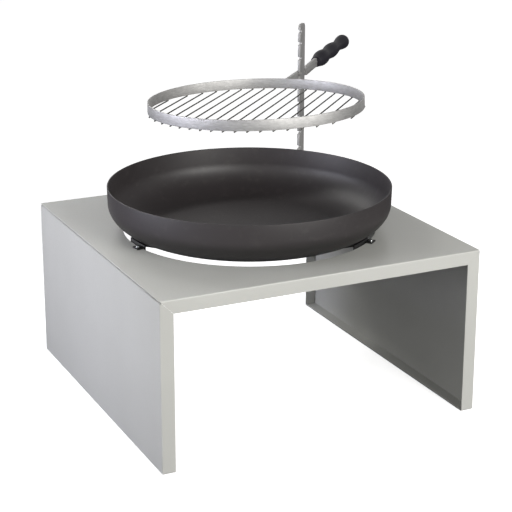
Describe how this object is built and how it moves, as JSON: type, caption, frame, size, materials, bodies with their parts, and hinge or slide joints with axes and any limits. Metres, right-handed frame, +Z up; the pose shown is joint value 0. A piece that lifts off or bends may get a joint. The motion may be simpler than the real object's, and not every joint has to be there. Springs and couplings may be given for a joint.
{
  "type": "fire pit with swing grate",
  "caption": "Low square steel table open at front and rear, carrying a round fire bowl, with a swinging cooking grate that hooks at set heights on a notched post.",
  "frame": {"origin": "on the floor, under the middle of the outline of the whole part seen from above", "axes": "+Z up; +X along the table's open front from its left side panel to its right one; +Y from the open front to the open rear; the post stands towards +X +Y"},
  "size_m": [0.8864, 0.909, 0.725],
  "materials": {
    "table_paint": "fine-textured light grey powder coat",
    "bowl_steel": "matt dark grey heat-resistant coat",
    "clip_black": "satin black coat",
    "stainless_steel": "brushed",
    "zinc_steel": "zinc plated",
    "handle_black": "black satin lacquer on turned wood"
  },
  "bodies": {
    "table": {"table_top": "table_paint", "left_panel": "table_paint", "right_panel": "table_paint", "panel_nut_1": "zinc_steel", "panel_nut_2": "zinc_steel", "panel_nut_3": "zinc_steel", "panel_nut_4": "zinc_steel", "bowl_clip_1": "clip_black", "bowl_clip_2": "clip_black", "bowl_clip_3": "clip_black", "clip_bolt_1": "zinc_steel", "clip_bolt_2": "zinc_steel", "clip_bolt_3": "zinc_steel", "clip_nut_1": "zinc_steel", "clip_nut_2": "zinc_steel", "clip_nut_3": "zinc_steel", "post_socket": "stainless_steel", "socket_bolt_1": "stainless_steel", "socket_bolt_2": "stainless_steel", "socket_bolt_3": "stainless_steel", "socket_bolt_4": "stainless_steel", "socket_nut_1": "zinc_steel", "socket_nut_2": "zinc_steel", "socket_nut_3": "zinc_steel", "socket_nut_4": "zinc_steel"},
    "bowl": {"fire_bowl": "bowl_steel"},
    "post": {"post_foot": "stainless_steel", "notched_post": "stainless_steel"},
    "grate": {"grate_ring": "stainless_steel", "front_arm": "stainless_steel", "side_plate": "stainless_steel", "latch_pin": "stainless_steel", "rear_pin": "stainless_steel", "grate_bar_1": "stainless_steel", "grate_bar_2": "stainless_steel", "grate_bar_3": "stainless_steel", "grate_bar_4": "stainless_steel", "grate_bar_5": "stainless_steel", "grate_bar_6": "stainless_steel", "grate_bar_7": "stainless_steel", "grate_bar_8": "stainless_steel", "grate_bar_9": "stainless_steel", "grate_bar_10": "stainless_steel", "grate_bar_11": "stainless_steel", "grate_bar_12": "stainless_steel", "grate_bar_13": "stainless_steel", "grate_bar_14": "stainless_steel", "grate_bar_15": "stainless_steel", "grate_bar_16": "stainless_steel", "grate_bar_17": "stainless_steel", "grate_bar_18": "stainless_steel", "grate_bar_19": "stainless_steel", "rear_arm": "stainless_steel", "handle_tang": "zinc_steel", "handle_grip": "handle_black"}
  },
  "joints": [
    {"name": "post_swivel", "type": "hinge", "parent": "table", "child": "post", "pos_m": [0.1578, 0.1465, 0.3556], "axis": [0, 0, 1], "continuous": true},
    {"name": "grate_lift", "type": "slide", "parent": "post", "child": "grate", "axis": [0, 0, 1], "range_m": [-0.1035, 0.0965]},
    {"name": "bowl_lift", "type": "slide", "parent": "table", "child": "bowl", "axis": [0, 0, 1], "range_m": [0, 0.04]}
  ]
}
